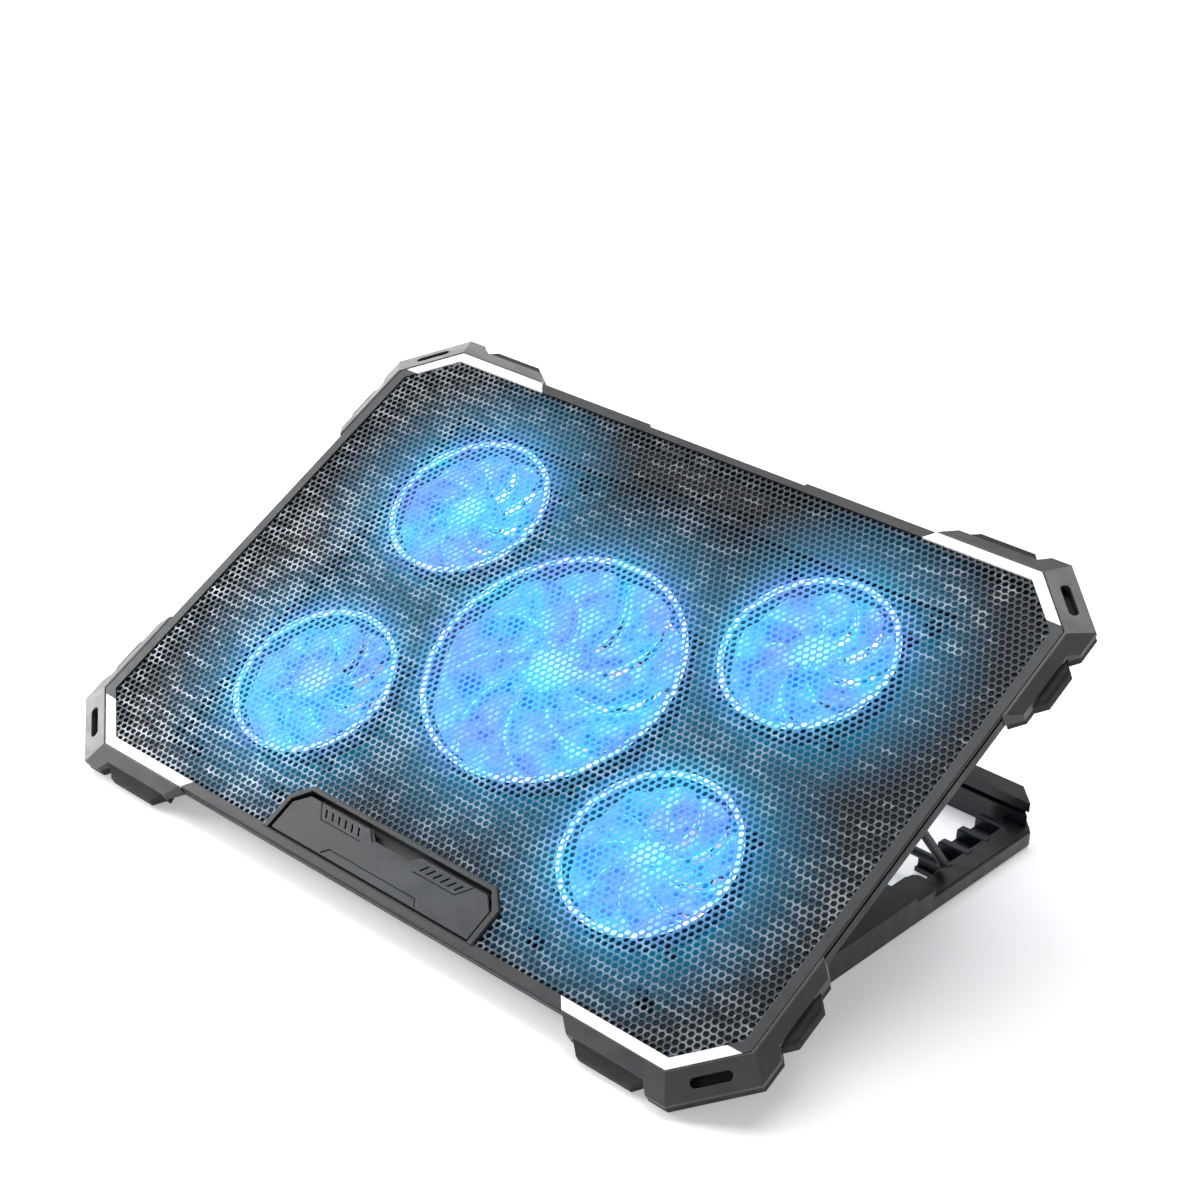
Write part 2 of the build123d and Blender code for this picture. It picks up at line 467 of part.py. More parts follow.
# ---- floor frame ----------------------------------------------------------------------
side_profile = [(BASE_FRONT, BASE_Z0), (BASE_FRONT, BLOCK_TOP - 1.5), (BASE_FRONT + 1.5, BLOCK_TOP),
                (BLOCK_END - 0.6, BLOCK_TOP), (BLOCK_END, BLOCK_TOP - 0.6), (BLOCK_END, LEDGE_TOP),
                (LEDGE_END, LEDGE_TOP), (LEDGE_END, RAIL_TOP), (BASE_REAR - 5, RAIL_TOP),
                (BASE_REAR - 5, BASE_Z0)]
side_rail = profile_x(side_profile, BASE_IN_X, BASE_X)
side_rail -= block(BASE_IN_X - 1, 153.0, LEDGE_END + 2.0, BAR_FRONT, -5, 20)
gusset = prism([(149.0, 40), (149.0, 45.3), (150.2, 50.3), (152.5, 52.2), (156, 52.0), (BASE_X, 47.7),
                (BASE_X, 40)], BASE_Z0, LEDGE_TOP)
side_rail += gusset
side_rail -= block(BASE_X - 1.1, BASE_X + 1, LEDGE_END + 2.2, BAR_FRONT + 1, RAIL_TOP - 0.5, 20)
side_rail -= block(151.2, 157.8, HINGE_Y - 9.5, HINGE_Y + 5.6, -5, 30)
side_rail -= bar_x(HINGE_Y, HINGE_Z, HINGE_R, BASE_IN_X - 1, 161.0)
side_rail -= block(BASE_IN_X + 2.4, BASE_X - 2.4, HINGE_Y + 14, BLOCK_END - 2.4, -5, BLOCK_TOP - 2.4)
teeth = None
for y in TOOTH_Y:
    tooth = block(TOOTH_X0, TOOTH_X1, y - TOOTH_T / 2, y + TOOTH_T / 2, BASE_Z0 + 1.6, TOOTH_TOP)
    tooth = chamfer(tooth.faces().sort_by(Axis.Z)[-1].edges(), 0.7)
    teeth = tooth if teeth is None else teeth + tooth
rack = teeth + block(TOOTH_X0, 153.2, TOOTH_Y[0] - 4.4, TOOTH_Y[-1] + 2.4, BASE_Z0, BASE_Z0 + 2.2)
side_rail += rack
cross = profile_x([(-83.2, BASE_Z0), (-83.2, 10.5), (-80.7, 13.0), (-54.2, 13.0), (-51.7, 10.5),
                   (-51.7, BASE_Z0)], -BASE_IN_X - 1, BASE_IN_X + 1)
cross -= block(-BASE_IN_X + 2, BASE_IN_X - 2, -80.8, -54.2, -5, 10.8)
rear_sill = block(-BASE_X, BASE_X, BAR_FRONT + 1.8, BASE_REAR, BASE_Z0, RAIL_TOP)
base = cross + side_rail + mirror(side_rail, about=Plane.YZ) + rear_sill
corner_cut = prism([(150.9, BASE_REAR + 0.01), (BASE_X + 0.01, 117.4), (180, 117.4), (180, 140),
                    (150.9, 140)], -5, 40)
sill_cut = prism([(153.2, BASE_REAR + 0.01), (BASE_X + 0.01, 119.2), (180, 119.2), (180, 140), (153.2, 140)],
                 -5, 40)
base -= sill_cut + mirror(sill_cut, about=Plane.YZ)
feet = []
for x, y in FOOT_XY:
    for side in (-1, 1):
        base -= disc(side * x, y, FOOT_R + 0.1, 0, BASE_Z0 + 1.0)
        feet.append(disc(side * x, y, FOOT_R, 0, BASE_Z0 + 0.95))
bar_screws = []
for x in BAR_SCREW_X:
    base -= disc(x, BAR_SCREW_Y, 1.3, -5, 30) + disc(x, BAR_SCREW_Y, 2.5, -5, 3.6)
    bar_screws.append(disc(x, BAR_SCREW_Y, 1.2, 3.5, 13.0) + disc(x, BAR_SCREW_Y, 2.3, BASE_Z0 + 0.4, 3.6))
keep("floor_frame", base)
keep("rubber_feet", Compound([s for foot in feet for s in foot.solids()]))

rear_bar = profile_x([(BASE_REAR, RAIL_TOP + 0.05), (BASE_REAR, BAR_TOP - 0.8), (BASE_REAR - 0.8, BAR_TOP),
                      (BAR_FRONT, BAR_TOP), (BAR_FRONT, 16.4), (BAR_FRONT + 4.4, 16.4),
                      (BAR_FRONT + 4.4, 13.6), (BAR_FRONT + 1.6, 13.0), (BAR_FRONT + 1.6, RAIL_TOP + 0.05)],
                     -162.4, 162.4)
rear_bar -= corner_cut + mirror(corner_cut, about=Plane.YZ)
rear_bar -= block(-138, 138, BAR_FRONT + 3.4, BASE_REAR - 2.0, -5, 11.5)
for x in BAR_SCREW_X:
    rear_bar -= disc(x, BAR_SCREW_Y, 1.25, -5, 13.2)
keep("rear_bar", rear_bar)
keep("rear_bar_screws", Compound([s for screw in bar_screws for s in screw.solids()]))
hinge_pins = both_sides(bar_x(HINGE_Y, HINGE_Z, HINGE_R, BASE_IN_X + 0.2, 160.9))
keep("frame_hinge_pins", hinge_pins)

# ---- prop bail ------------------------------------------------------------------------
foot_y, foot_z = to_deck(BAIL_FOOT_Y, BAIL_FOOT_Z)
path = Polyline((BAIL_STUB_X, BAIL_PIVOT_Y, BAIL_PIVOT_Z), (BAIL_X, BAIL_PIVOT_Y, BAIL_PIVOT_Z),
                (BAIL_X, foot_y, foot_z), (-BAIL_X, foot_y, foot_z),
                (-BAIL_X, BAIL_PIVOT_Y, BAIL_PIVOT_Z), (-BAIL_STUB_X, BAIL_PIVOT_Y, BAIL_PIVOT_Z))
path = fillet(path.vertices().filter_by(lambda v: abs(v.X) > BAIL_X - 1), BAIL_BEND)
bail = sweep(Plane((BAIL_STUB_X, BAIL_PIVOT_Y, BAIL_PIVOT_Z), z_dir=(1, 0, 0)) * Circle(BAIL_R), path=path)
keep_deck("prop_bail", bail)
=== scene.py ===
"""Looks of the laptop cooling pad: perforated steel deck, lit fans, guards, stand and light.

Deck pieces are built in the deck's own millimetres (top plane z = 0, centre at the origin,
front towards -y) and carried into the frame by DECK.  All other numbers are metres.
"""

import json
import math

import bmesh
import bpy
from mathutils import Matrix, Vector


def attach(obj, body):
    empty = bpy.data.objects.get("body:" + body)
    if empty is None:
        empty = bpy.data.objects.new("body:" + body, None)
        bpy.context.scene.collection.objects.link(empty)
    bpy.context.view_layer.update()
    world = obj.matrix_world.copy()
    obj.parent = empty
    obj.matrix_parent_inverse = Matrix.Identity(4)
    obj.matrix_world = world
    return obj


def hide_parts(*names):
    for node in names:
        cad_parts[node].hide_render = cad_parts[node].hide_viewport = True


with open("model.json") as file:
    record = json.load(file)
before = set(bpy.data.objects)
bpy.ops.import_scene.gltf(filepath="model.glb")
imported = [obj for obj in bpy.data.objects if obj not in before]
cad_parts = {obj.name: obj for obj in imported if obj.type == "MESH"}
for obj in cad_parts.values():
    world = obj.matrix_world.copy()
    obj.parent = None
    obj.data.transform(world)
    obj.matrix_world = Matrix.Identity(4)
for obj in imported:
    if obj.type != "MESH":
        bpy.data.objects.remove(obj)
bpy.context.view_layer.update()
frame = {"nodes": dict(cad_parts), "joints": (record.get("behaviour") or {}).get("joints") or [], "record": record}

# ---- places read from the frame ----------------------------------------------------------
MM = 0.001
FAN_AXIS_DEPTH = 8.3 * MM                    # the spin joints' point lies this far under the deck
JOINTS = {joint["name"]: joint for joint in frame["joints"]}
FAN_NAMES = ["center", "front_left", "front_right", "rear_left", "rear_right"]


def deck_matrix():
    """Deck millimetres to metres in the frame, from the middle fan's axis."""
    spin = JOINTS["fan_spin_center"]
    up = Vector(spin["axis"]).normalized()
    back = up.cross(Vector((1, 0, 0))).normalized()
    origin = Vector(spin["pos_m"]) + up * FAN_AXIS_DEPTH
    turn = Matrix((Vector((1, 0, 0)), back, up)).transposed().to_4x4()
    return Matrix.Translation(origin) @ turn @ Matrix.Scale(MM, 4)


DECK = deck_matrix()
TO_DECK = DECK.inverted()
TILT = math.atan2(DECK.col[1][2], DECK.col[1][1])
FANS = {name: TO_DECK @ Vector(JOINTS["fan_spin_" + name]["pos_m"]) for name in FAN_NAMES}
FAN_R = {name: 57.0 if name == "center" else 36.0 for name in FAN_NAMES}

# ---- deck dimensions, millimetres ----------------------------------------------------------
FIELD_X, FIELD_Y = 182.3, 123.0              # half sizes of the perforated sheet
CORNER_SUM = (177.9, 108.1, 161.6, 123.24)   # the inlays' inner edge across a cut corner
SHEET_TOP, SHEET_T = -0.6, 0.8
HOLE_PITCH = 3.29
HOLE_R = 1.42                                # corner radius of a hexagonal hole
CUT_MARGIN = 3.5                             # cells this far past a cut corner are still made
STOP_CUT_X, STOP_CUT_Y, STOP_CUT_C = 61.9, -98.1, 8.3
BLADES, TIP_GAP = 9, 1.6
SWEEP, SWEEP_CURVE = 0.62, 1.3               # a tip's lead over its root in radians, and how late it comes
BLADE_OVERLAP = 1.08                         # a blade's width over an even share of the circle
BLADE_TOP, BLADE_DROP = -5.3, 5.6
BLADE_T, BLADE_THINNING = 1.3, 0.5           # thickness at the root, and its loss towards the tip
HUB_SHARE = 0.34                             # hub radius over fan radius
HUB_TOP, HUB_FLOOR, HUB_WALL, HUB_ROOF = -4.3, -12.0, 1.4, -6.2
SHAFT_R, SHAFT_END = 1.5, -13.8
HALO = 46.0                                  # how far the fans' light reaches round them
DUCT_FLOOR, DUCT_LIT = -15.8, -13.8          # the duct's light sets in between these heights


# ---- mesh helpers ---------------------------------------------------------------------------
def piece(name, mesh, body, look, replaces=(), smooth=None):
    """Wraps a mesh as a piece of the object, with its body, slot and material."""
    obj = bpy.data.objects.new(name, mesh)
    bpy.context.scene.collection.objects.link(obj)
    mesh.materials.append(look)
    if smooth is not None:
        mesh.polygons.foreach_set("use_smooth", [True] * len(mesh.polygons))
        mesh.set_sharp_from_angle(angle=math.radians(smooth))
    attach(obj, body)
    if replaces:
        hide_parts(*replaces)


def mesh_of(bm, name):
    """A mesh of a closed bmesh, with its faces turned outwards."""
    bmesh.ops.recalc_face_normals(bm, faces=bm.faces)
    mesh = bpy.data.meshes.new(name)
    bm.to_mesh(mesh)
    bm.free()
    return mesh


def lathe(bm, profile, place, segments=32):
    """Turns (radius, height) points about z and adds the closed surface to bm."""
    rings = []
    for r, z in profile:
        if r < 1e-6:
            rings.append([bm.verts.new(place @ Vector((0, 0, z)))])
            continue
        turns = [2 * math.pi * k / segments for k in range(segments)]
        rings.append([bm.verts.new(place @ Vector((r * math.cos(a), r * math.sin(a), z))) for a in turns])
    for low, high in zip(rings, rings[1:]):
        for k in range(segments):
            a, b = low[k % len(low)], low[(k + 1) % len(low)]
            c, d = high[(k + 1) % len(high)], high[k % len(high)]
            corners = list(dict.fromkeys((a, b, c, d)))
            if len(corners) > 2:
                bm.faces.new(corners)


def cross_head_screw(bm, place, head_r, head_t, shank_r, shank_l, segments=24):
    """Pan head screw along z with a tapered cross recess; the head's top is at z = 0."""
    recess, slit = head_r * 0.62, head_r * 0.17
    flat, shoulder, depth, taper = 0.86, head_t * 0.45, head_t * 0.7, 0.55
    ring = [(head_r * flat * math.cos(2 * math.pi * k / segments),
             head_r * flat * math.sin(2 * math.pi * k / segments)) for k in range(segments)]
    cross = []
    for k in range(4):
        a = math.pi / 2 * k
        ca, sa = math.cos(a), math.sin(a)
        for x, y in ((slit, -slit), (recess, -slit), (recess, slit)):
            cross.append((x * ca - y * sa, x * sa + y * ca))
    top = [bm.verts.new(place @ Vector((x, y, 0))) for x, y in ring]
    mouth = [bm.verts.new(place @ Vector((x, y, 0))) for x, y in cross]
    edges = [bm.edges.new((loop[i], loop[i - 1])) for loop in (top, mouth) for i in range(len(loop))]
    bmesh.ops.triangle_fill(bm, edges=edges, use_beauty=True)
    floor = [bm.verts.new(place @ Vector((x * taper, y * taper, -depth))) for x, y in cross]
    for i in range(len(mouth)):
        bm.faces.new((mouth[i - 1], mouth[i], floor[i], floor[i - 1]))
    bm.faces.new(floor)
    outer = [bm.verts.new(place @ Vector((x / flat, y / flat, -shoulder))) for x, y in ring]
    for i in range(segments):
        bm.faces.new((top[i - 1], top[i], outer[i], outer[i - 1]))
    end = -shank_l - shank_r * 0.5
    lathe(bm, [(head_r, -shoulder), (head_r, -head_t), (shank_r, -head_t), (shank_r, -shank_l),
               (shank_r * 0.6, end), (0, end)], place, segments)


# ---- material helpers ------------------------------------------------------------------------
PROBES = 6                                   # rays per point for soft edges and for shade in grooves


class Look:
    """A Principled material under construction, with short ways to add nodes."""

    def __init__(self, name, **sockets):
        self.mat = bpy.data.materials.new(name)
        self.mat.use_nodes = True
        self.tree = self.mat.node_tree
        self.tree.nodes.clear()
        out = self.tree.nodes.new("ShaderNodeOutputMaterial")
        self.bsdf = self.tree.nodes.new("ShaderNodeBsdfPrincipled")
        self.tree.links.new(self.bsdf.outputs[0], out.inputs[0])
        for key, value in sockets.items():
            self.bsdf.inputs[key.replace("_", " ")].default_value = value
        self.coords = self.node("ShaderNodeTexCoord").outputs["Object"]

    def node(self, kind, inputs=None, **props):
        """Adds a node; inputs are values or other nodes' outputs, props its settings."""
        made = self.tree.nodes.new(kind)
        for key, value in props.items():
            setattr(made, key, value)
        for key, value in (inputs or {}).items():
            if isinstance(value, bpy.types.NodeSocket):
                self.tree.links.new(value, made.inputs[key])
            else:
                made.inputs[key].default_value = value
        return made

    def math(self, operation, a, b=0.0):
        return self.node("ShaderNodeMath", {0: a, 1: b}, operation=operation).outputs[0]

    def stretched(self, scale):
        """Object coordinates scaled per axis."""
        return self.node("ShaderNodeMapping", {"Vector": self.coords, "Scale": scale}).outputs[0]

    def noise(self, scale, detail=3.0, rough=0.55, vector=None):
        """Cloudy noise; scale counts per metre, or per millimetre in the deck's coordinates."""
        return self.node("ShaderNodeTexNoise", {
            "Vector": vector or self.coords, "Scale": scale, "Detail": detail,
            "Roughness": rough}).outputs["Fac"]

    def ramp(self, fac, low, high, start=0.0, end=1.0):
        """Maps fac from start..end to low..high."""
        return self.node("ShaderNodeMapRange", {
            "Value": fac, "From Min": start, "From Max": end, "To Min": low, "To Max": high}).outputs[0]

    def mix(self, fac, a, b):
        """Colour a where fac is 0, colour b where it is 1."""
        made = self.node("ShaderNodeMix", data_type="RGBA")
        for socket, value in ((made.inputs[0], fac), (made.inputs[6], a), (made.inputs[7], b)):
            if isinstance(value, bpy.types.NodeSocket):
                self.tree.links.new(value, socket)
            else:
                socket.default_value = value
        return made.outputs[2]

    def rounded(self, radius):
        """Normal with softened edges."""
        return self.node("ShaderNodeBevel", {"Radius": radius}, samples=PROBES).outputs[0]

    def facing(self, direction):
        """How well the face's own normal agrees with a direction or another normal."""
        flat = self.node("ShaderNodeNewGeometry").outputs["True Normal"]
        return self.node("ShaderNodeVectorMath", {0: direction, 1: flat},
                         operation="DOT_PRODUCT").outputs["Value"]

    def edges(self, soft):
        """1 along edges, from how far the softened normal leaves the face's own."""
        return self.ramp(self.math("SUBTRACT", 1.0, self.facing(soft)), 0.0, 1.0, 0.01, 0.25)

    def recess(self, reach):
        """1 in slits, grooves and inner corners, where painted shade darkens them."""
        open_sky = self.node("ShaderNodeAmbientOcclusion", {"Distance": reach}, samples=PROBES).outputs["AO"]
        return self.ramp(open_sky, 1.0, 0.0, 0.35, 0.8)

    def bump(self, height, strength, distance, normal=None):
        inputs = {"Height": height, "Strength": strength, "Distance": distance}
        if normal is not None:
            inputs["Normal"] = normal
        return self.node("ShaderNodeBump", inputs).outputs[0]

    def set(self, **sockets):
        """Links node outputs to the Principled sockets and gives back the material."""
        for key, value in sockets.items():
            self.tree.links.new(value, self.bsdf.inputs[key.replace("_", " ")])
        return self.mat


def grey(value, tint=0.0):
    """A grey with a blue cast that grows with tint."""
    return (value * (1 - tint), value, value * (1 + tint), 1.0)


def deck_coords(look):
    """Adds the deck's own millimetre coordinates to a look."""
    shifted = look.node("ShaderNodeVectorMath", {0: look.coords, 1: DECK.to_translation()},
                        operation="SUBTRACT").outputs[0]
    look.deck = look.node("ShaderNodeMapping", {"Vector": shifted, "Rotation": (-TILT, 0, 0),
                                                "Scale": (1 / MM, 1 / MM, 1 / MM)}).outputs[0]
    return look


def fan_distance(look, fan):
    """Distance in millimetres from a fan's axis, in the deck's frame."""
    flat = look.node("ShaderNodeVectorMath", {0: look.deck, 1: (1, 1, 0)}, operation="MULTIPLY").outputs[0]
    centre = FANS[fan]
    return look.node("ShaderNodeVectorMath", {0: flat, 1: (centre.x, centre.y, 0)},
                     operation="DISTANCE").outputs["Value"]


def brightest(look, levels):
    """The largest of several values."""
    best = levels[0]
    for level in levels[1:]:
        best = look.math("MAXIMUM", best, level)
    return best


def halo(look, fan, power):
    """1 over a fan, fading to 0 at the end of its light's reach."""
    fade = look.ramp(fan_distance(look, fan), 1.0, 0.0, FAN_R[fan] * 0.95, FAN_R[fan] + HALO)
    return look.math("POWER", fade, power)


def fan_spill(look):
    """Blue light of the fans inside their ducts and on the floor of the case around them."""
    deep, pale, case_blue = (0.0, 0.14, 0.55, 1), (0.03, 0.38, 0.95, 1), (0.0, 0.15, 0.28, 1)
    deck_coords(look)
    depth = look.node("ShaderNodeSeparateXYZ", {0: look.deck}).outputs["Z"]
    inside = brightest(look, [look.ramp(fan_distance(look, fan), 1.0, 0.0, FAN_R[fan] * 0.8, FAN_R[fan] + 3.5)
                              for fan in FAN_NAMES])
    inside = look.math("MULTIPLY", inside, look.ramp(depth, 0.0, 1.0, DUCT_FLOOR, DUCT_LIT))
    faces_up = look.facing(DECK.col[2].xyz.normalized())
    around = look.math("MULTIPLY", brightest(look, [halo(look, fan, 1.4) for fan in FAN_NAMES]),
                       look.ramp(faces_up, 0.0, 1.0, 0.5, 0.9))
    swirl = look.noise(0.09, 3.0, 0.5, look.deck)
    tint = look.mix(inside, case_blue, look.mix(look.ramp(swirl, 0.0, 1.0, 0.35, 0.65), deep, pale))
    look.set(Emission_Color=tint,
             Emission_Strength=look.math("MAXIMUM", look.math("MULTIPLY", inside, 0.85), around))


def moulded_plastic(name, level, rough, edge_wear_and_highlight=1.9, radius=0.00035, tint=0.03, fan_lit=False):
    """Dark moulded plastic: fine spark-eroded grain, handled patches, paler edges that are partly wear and partly
    painted highlight, and painted shade in grooves and inner corners.
    """
    look = Look(name, Specular_IOR_Level=0.45)
    if fan_lit:
        fan_spill(look)
    soft = look.rounded(radius)
    patches = look.noise(26.0, 4.0)
    speck = look.noise(2600.0, 2.0)
    base = look.mix(look.ramp(patches, 0, 1, 0.3, 0.7), grey(level * 0.86, tint), grey(level * 1.16, tint))
    base = look.mix(look.ramp(speck, 0, 0.35, 0.45, 0.75), base, grey(level * 1.5, tint))
    # paler edges: partly wear, partly a painted highlight along them
    rub = look.math("MULTIPLY", look.edges(soft), look.ramp(look.noise(120.0, 3.0), 0.35, 1.0, 0.35, 0.65))
    base = look.mix(look.math("MULTIPLY", rub, 0.8), base, grey(level * edge_wear_and_highlight, tint))
    # painted shade: grooves and inner corners darkened to a quarter of the plastic's level
    base = look.mix(look.recess(0.003), base, grey(level * 0.25, tint))
    fine = look.bump(look.noise(3800.0, 2.0), 0.22, 0.00008, soft)
    wavy = look.bump(look.noise(70.0, 2.0), 0.05, 0.0006, fine)
    smear = look.noise(55.0, 5.0, 0.6, look.stretched((1.0, 2.6, 1.0)))
    gloss = look.ramp(smear, rough - 0.08, rough + 0.1, 0.35, 0.65)
    return look.set(Base_Color=base, Roughness=gloss, Normal=wavy)


def rubber(name):
    """Matt black rubber with dust in its pores and paler edges, partly wear and partly painted highlight."""
    look = Look(name, Specular_IOR_Level=0.3)
    soft = look.rounded(0.0004)
    dust = look.noise(180.0, 5.0, 0.65)
    base = look.mix(look.ramp(dust, 0, 1, 0.45, 0.75), grey(0.02), grey(0.042))
    # paler edges: partly wear, partly painted highlight
    base = look.mix(look.math("MULTIPLY", look.edges(soft), 0.7), base, grey(0.12))
    bump = look.bump(look.noise(2400.0, 3.0), 0.35, 0.0001, soft)
    return look.set(Base_Color=base, Roughness=look.ramp(dust, 0.62, 0.85), Normal=bump)


def white_inlay(name):
    """Glossy white plastic strips."""
    look = Look(name, Specular_IOR_Level=0.5, Coat_Weight=0.35, Coat_Roughness=0.12)
    soft = look.rounded(0.0002)
    haze = look.noise(40.0, 4.0)
    base = look.mix(look.ramp(haze, 0, 1, 0.3, 0.7), (0.86, 0.87, 0.88, 1), (0.95, 0.95, 0.95, 1))
    return look.set(Base_Color=base, Roughness=look.ramp(look.noise(300.0, 3.0), 0.22, 0.36), Normal=soft)


def perforated_steel(name):
    """Bare sheet: painted highlight streaks and patches that fade towards the rear right, painted dark blue over
    the fans, and blue light spilling from the fans.
    """
    look = deck_coords(Look(name, Metallic=0.55, Specular_IOR_Level=0.5))
    # painted highlights: bands of bright webs stretched along x
    highlight_streak = look.node("ShaderNodeMapping", {"Vector": look.deck, "Scale": (0.075, 0.24, 0.2)}).outputs[0]
    bands = look.noise(1.0, 3.0, 0.6, highlight_streak)
    broad = look.ramp(look.noise(0.016, 2.0, 0.5, look.deck), -0.07, 0.07, 0.35, 0.65)
    bands = look.math("ADD", bands, broad)
    place = look.node("ShaderNodeSeparateXYZ", {0: look.deck})
    # painted fall-off: the highlights thin out towards the rear right
    rear_right = look.math("ADD", look.math("MULTIPLY", place.outputs["X"], 0.55), place.outputs["Y"])
    bands = look.math("SUBTRACT", bands, look.ramp(rear_right, 0.05, 0.15, -70.0, 130.0))
    # bright is the painted highlight colour of the webs; the pits are the sheet's own marks
    dark, bright, pit = (0.05, 0.056, 0.067, 1), (0.46, 0.49, 0.53, 1), (0.04, 0.042, 0.05, 1)
    base = look.mix(look.ramp(bands, 0, 1, 0.4, 0.74), dark, bright)
    base = look.mix(look.ramp(look.noise(1400.0, 2.0), 0, 0.35, 0.45, 0.75), base, pit)
    # painted fan light: over each fan the sheet's colour turns dark blue
    for fan in FAN_NAMES:
        over = look.ramp(fan_distance(look, fan), 0.9, 0.0, FAN_R[fan] - 2.0, FAN_R[fan] + 8.0)
        base = look.mix(over, base, (0.015, 0.04, 0.1, 1))
    glow = brightest(look, [halo(look, fan, 1.45) for fan in FAN_NAMES])
    teal, violet, cyan = (0.02, 0.23, 0.42, 1), (0.16, 0.34, 0.98, 1), (0.06, 0.56, 0.9, 1)
    drift = look.ramp(look.noise(0.032, 2.0, 0.5, look.deck), 0.0, 1.0, 0.38, 0.62)
    spill = look.mix(look.ramp(glow, 0.0, 1.0, 0.55, 1.0), teal, look.mix(drift, violet, cyan))
    look.set(Emission_Color=spill, Emission_Strength=glow)
    bump = look.bump(look.noise(900.0, 2.0), 0.15, 0.0001)
    return look.set(Base_Color=base, Roughness=look.ramp(bands, 0.5, 0.3, 0.42, 0.62), Normal=bump)


def blade_phase(look, fan, share):
    """0 to 1 across each swept blade, from its leading to its trailing edge."""
    centre = FANS[fan]
    spot = look.node("ShaderNodeVectorMath", {0: look.deck, 1: (centre.x, centre.y, 0)},
                     operation="SUBTRACT").outputs[0]
    axes = look.node("ShaderNodeSeparateXYZ", {0: spot})
    angle = look.math("ARCTAN2", axes.outputs["Y"], axes.outputs["X"])
    reach = look.math("POWER", look.ramp(share, 0.0, 1.0, HUB_SHARE, 0.97), SWEEP_CURVE)
    straight = look.math("SUBTRACT", angle, look.math("MULTIPLY", reach, SWEEP))
    turns = look.math("MULTIPLY", straight, BLADES / (2 * math.pi))
    return look.math("FRACT", look.math("ADD", turns, BLADES + 0.5))


def lit_blade(name, fan):
    """Clear blue blades that glow with painted light: painted highlight lines along their edges, painted shade
    across each blade, brightest at the hub and near the light ring.
    """
    look = deck_coords(Look(name, Specular_IOR_Level=0.5, Roughness=0.2))
    deep, pale, white_cyan = (0.02, 0.14, 0.72, 1), (0.24, 0.5, 0.98, 1), (0.24, 0.86, 0.95, 1)
    share = look.math("DIVIDE", fan_distance(look, fan), FAN_R[fan])
    swirl = look.noise(0.11, 4.0, 0.5, look.deck)
    ragged = look.math("ADD", share, look.ramp(look.noise(0.4, 2.0, 0.5, look.deck), -0.09, 0.09, 0.3, 0.7))
    hub = look.math("POWER", look.ramp(ragged, 1.0, 0.0, 0.1, HUB_SHARE), 1.5)
    rim = look.math("POWER", look.ramp(share, 0.0, 1.0, 0.72, 0.98), 2.0)
    phase = blade_phase(look, fan, share)
    fold = look.math("ABSOLUTE", look.math("SUBTRACT", look.math("MULTIPLY", phase, 2.0), 1.0))
    on_blade = look.ramp(share, 0.0, 1.0, 0.3, 0.38)
    # painted highlight lines along each blade's edges
    edge_highlight = look.math("MULTIPLY", look.math("POWER", fold, 9.0), on_blade)
    blue = look.mix(look.ramp(swirl, 0, 1, 0.35, 0.65), deep, pale)
    bright = brightest(look, [hub, look.math("MULTIPLY", rim, 0.4), look.math("MULTIPLY", edge_highlight, 0.75)])
    # painted shade across each blade, following its phase
    shaded = look.math("MULTIPLY", look.ramp(swirl, 0.7, 1.25, 0.3, 0.7),
                       look.ramp(phase, 0.45, 1.2, 0.0, 1.0))
    power = look.math("ADD", look.math("ADD", shaded, look.math("MULTIPLY", bright, 0.8)),
                      look.math("MULTIPLY", hub, 0.6))
    return look.set(Base_Color=blue, Emission_Color=look.mix(bright, blue, white_cyan),
                    Emission_Strength=power)


def light_guide(name):
    """Clear ring that carries the light round a fan, brighter in some cells."""
    look = Look(name, Roughness=0.15, Specular_IOR_Level=0.5)
    cells = look.noise(220.0, 2.0)
    tint = look.mix(look.ramp(cells, 0, 1, 0.35, 0.65), (0.2, 0.55, 0.95, 1), (0.6, 0.85, 1.0, 1))
    return look.set(Base_Color=tint, Emission_Color=tint,
                    Emission_Strength=look.ramp(cells, 1.1, 1.9, 0.3, 0.7))


def turned_metal(name, level, rough, metallic=1.0, tint=0.0, scale=(1.0, 1.0, 14.0)):
    """Metal with fine tool marks, close together along the axis that scale stretches most."""
    look = Look(name, Metallic=metallic)
    soft = look.rounded(0.0002)
    rings = look.noise(420.0, 3.0, 0.6, look.stretched(scale))
    base = look.mix(look.ramp(rings, 0, 1, 0.3, 0.7), grey(level * 0.75, tint), grey(level * 1.2, tint))
    bump = look.bump(rings, 0.12, 0.00005, soft)
    return look.set(Base_Color=base, Roughness=look.ramp(rings, rough - 0.07, rough + 0.1), Normal=bump)


def wound_copper(name):
    """Enamelled wire in fine turns."""
    look = Look(name, Metallic=0.9)
    turns = look.node("ShaderNodeTexWave", {"Vector": look.coords, "Scale": 900.0, "Distortion": 1.5},
                      bands_direction="Z").outputs["Fac"]
    base = look.mix(turns, (0.28, 0.1, 0.03, 1), (0.75, 0.36, 0.14, 1))
    return look.set(Base_Color=base, Roughness=look.ramp(turns, 0.5, 0.25),
                    Normal=look.bump(turns, 0.5, 0.0001))


def board_lacquer(name):
    """Dark solder mask over tracks."""
    look = Look(name, Coat_Weight=0.4)
    tracks = look.node("ShaderNodeTexBrick", {
        "Vector": look.stretched((260.0, 260.0, 260.0)), "Scale": 1.0, "Mortar Size": 0.06,
        "Color1": (0.012, 0.013, 0.016, 1), "Color2": (0.016, 0.018, 0.022, 1),
        "Mortar": (0.05, 0.045, 0.03, 1)}).outputs["Color"]
    return look.set(Base_Color=tracks, Roughness=look.ramp(look.noise(400.0), 0.25, 0.45))


